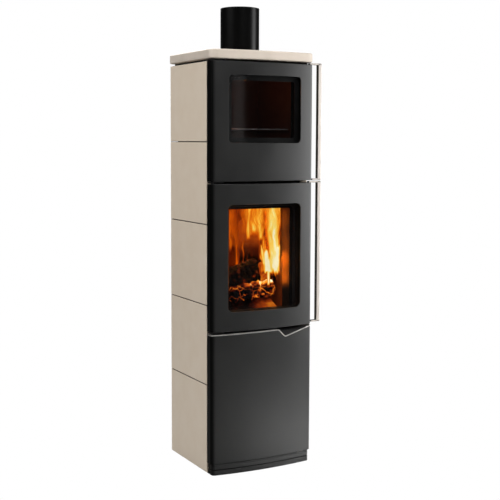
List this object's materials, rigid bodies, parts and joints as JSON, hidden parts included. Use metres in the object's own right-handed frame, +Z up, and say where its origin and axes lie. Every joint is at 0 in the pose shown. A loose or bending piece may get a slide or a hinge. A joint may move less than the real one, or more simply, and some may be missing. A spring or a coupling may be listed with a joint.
{
  "type": "tiled wood stove",
  "caption": "Tall free-standing wood stove with ceramic side tiles, a bowed front of glazed doors over fire and baking oven, a wood store and a flue pipe on top.",
  "frame": {"origin": "on the floor, in the middle of the footprint of the side tiles", "axes": "+Z up, +X to the right seen from the front, -Y out of the front towards the user"},
  "size_m": [0.4768, 0.4129, 1.7653],
  "materials": {
    "glazed_tile": "satin glaze",
    "glazed_plate": "satin glaze",
    "black_paint": "satin",
    "heat_paint": "matt",
    "satin_steel": "brushed",
    "sheet_steel": "mill",
    "cast_iron": "cast",
    "firebrick": "pressed",
    "rope_seal": "braided",
    "fire_glass": "polished"
  },
  "bodies": {
    "stove": {"air_duct": "sheet_steel", "air_inlet_plate": "sheet_steel", "air_inlet_spigot": "sheet_steel", "ash_pan": "sheet_steel", "back_panel": "heat_paint", "baffle_plate": "firebrick", "base_plate": "heat_paint", "carcass_side_left": "heat_paint", "carcass_side_right": "heat_paint", "fire_door_catch": "satin_steel", "firebox_shell": "heat_paint", "firebrick_back": "firebrick", "firebrick_hearth": "firebrick", "firebrick_left": "firebrick", "firebrick_right": "firebrick", "flue_collar": "cast_iron", "flue_pipe": "heat_paint", "front_frame": "heat_paint", "grate": "cast_iron", "hinge_bracket_base": "heat_paint", "hinge_bracket_lower": "heat_paint", "hinge_bracket_middle": "heat_paint", "hinge_bracket_top": "heat_paint", "log_retainer": "cast_iron", "lower_door_magnet": "sheet_steel", "lower_shelf": "heat_paint", "middle_shelf": "heat_paint", "oven_door_catch": "satin_steel", "oven_rack": "sheet_steel", "oven_shell": "heat_paint", "oven_stone": "firebrick", "plinth_panel": "black_paint", "soot_hatch": "cast_iron", "tile_left_1": "glazed_tile", "tile_left_2": "glazed_tile", "tile_left_3": "glazed_tile", "tile_left_4": "glazed_tile", "tile_left_5": "glazed_tile", "tile_right_1": "glazed_tile", "tile_right_2": "glazed_tile", "tile_right_3": "glazed_tile", "tile_right_4": "glazed_tile", "tile_right_5": "glazed_tile", "top_cover": "heat_paint", "top_plate": "glazed_plate", "wood_store_liner": "sheet_steel"},
    "oven_door": {"oven_door_glass": "fire_glass", "oven_door_handle": "satin_steel", "oven_door_inner_frame": "heat_paint", "oven_door_seal": "rope_seal", "oven_door_skin": "black_paint"},
    "fire_door": {"fire_door_glass": "fire_glass", "fire_door_handle": "satin_steel", "fire_door_inner_frame": "heat_paint", "fire_door_seal": "rope_seal", "fire_door_skin": "black_paint"},
    "lower_door": {"lower_door_skin": "black_paint", "lower_door_striker": "sheet_steel", "lower_door_trim": "satin_steel"},
    "air_slider": {"air_slider": "sheet_steel"}
  },
  "joints": [
    {"name": "oven_door_hinge", "type": "hinge", "parent": "stove", "child": "oven_door", "pos_m": [-0.2035, -0.1845, 1.3274], "axis": [0, 0, -1], "range_deg": [0, 115]},
    {"name": "fire_door_hinge", "type": "hinge", "parent": "stove", "child": "fire_door", "pos_m": [-0.2035, -0.1845, 0.8221], "axis": [0, 0, -1], "range_deg": [0, 115]},
    {"name": "lower_door_hinge", "type": "hinge", "parent": "stove", "child": "lower_door", "pos_m": [-0.2035, -0.1845, 0.289], "axis": [0, 0, -1], "range_deg": [0, 115]},
    {"name": "air_slide", "type": "slide", "parent": "stove", "child": "air_slider", "axis": [1, 0, 0], "range_m": [0, 0.03]}
  ]
}
